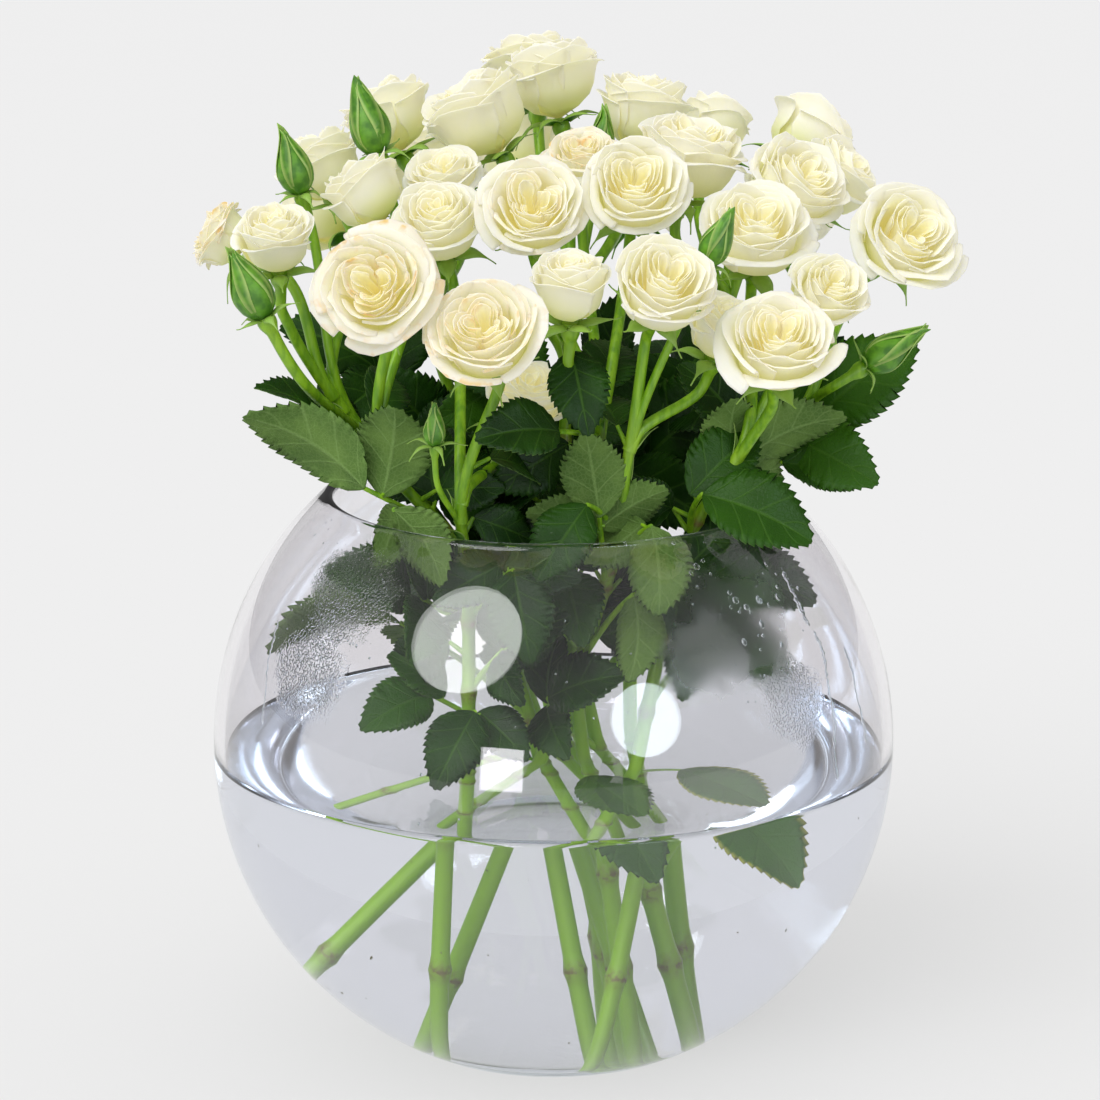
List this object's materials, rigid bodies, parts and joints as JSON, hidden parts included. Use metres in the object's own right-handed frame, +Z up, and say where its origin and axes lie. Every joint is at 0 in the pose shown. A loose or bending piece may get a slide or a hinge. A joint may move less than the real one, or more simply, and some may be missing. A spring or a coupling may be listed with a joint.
{
  "type": "floral table centerpiece",
  "caption": "Round clear glass bubble bowl half filled with water, holding a full bunch of white spray roses with their leaves and buds.",
  "frame": {"origin": "centre of the bowl's flat base, on the surface it stands on", "axes": "+Z up along the bowl's axis, -Y towards the side it is looked at from, +X to that viewer's right"},
  "size_m": [0.2775, 0.25, 0.368],
  "materials": {
    "clear_glass": "gloss",
    "water": "gloss",
    "rose_green": "satin",
    "cream_petal": "matte"
  },
  "bodies": {
    "root": {"glass_bowl": "clear_glass", "water": "water", "spray_a": "rose_green", "spray_b": "rose_green", "spray_c": "rose_green", "spray_d": "rose_green", "spray_e": "rose_green", "spray_f": "rose_green", "spray_g": "rose_green", "spray_h": "rose_green", "spray_i": "rose_green", "spray_j": "rose_green", "spray_k": "rose_green", "rose_01": "cream_petal", "rose_02": "cream_petal", "rose_03": "cream_petal", "rose_04": "cream_petal", "rose_05": "cream_petal", "rose_06": "cream_petal", "rose_07": "cream_petal", "rose_08": "cream_petal", "rose_09": "cream_petal", "rose_10": "cream_petal", "rose_11": "cream_petal", "rose_12": "cream_petal", "rose_13": "cream_petal", "rose_14": "cream_petal", "rose_15": "cream_petal", "rose_16": "cream_petal", "rose_17": "cream_petal", "rose_18": "cream_petal", "rose_19": "cream_petal", "rose_20": "cream_petal", "rose_21": "cream_petal", "rose_22": "cream_petal", "rose_23": "cream_petal", "rose_24": "cream_petal", "rose_25": "cream_petal", "rose_26": "cream_petal", "rose_27": "cream_petal", "rose_28": "cream_petal", "rose_29": "cream_petal", "rose_30": "cream_petal", "rose_31": "cream_petal", "rose_32": "cream_petal", "rose_33": "cream_petal", "rose_34": "cream_petal"}
  },
  "joints": []
}
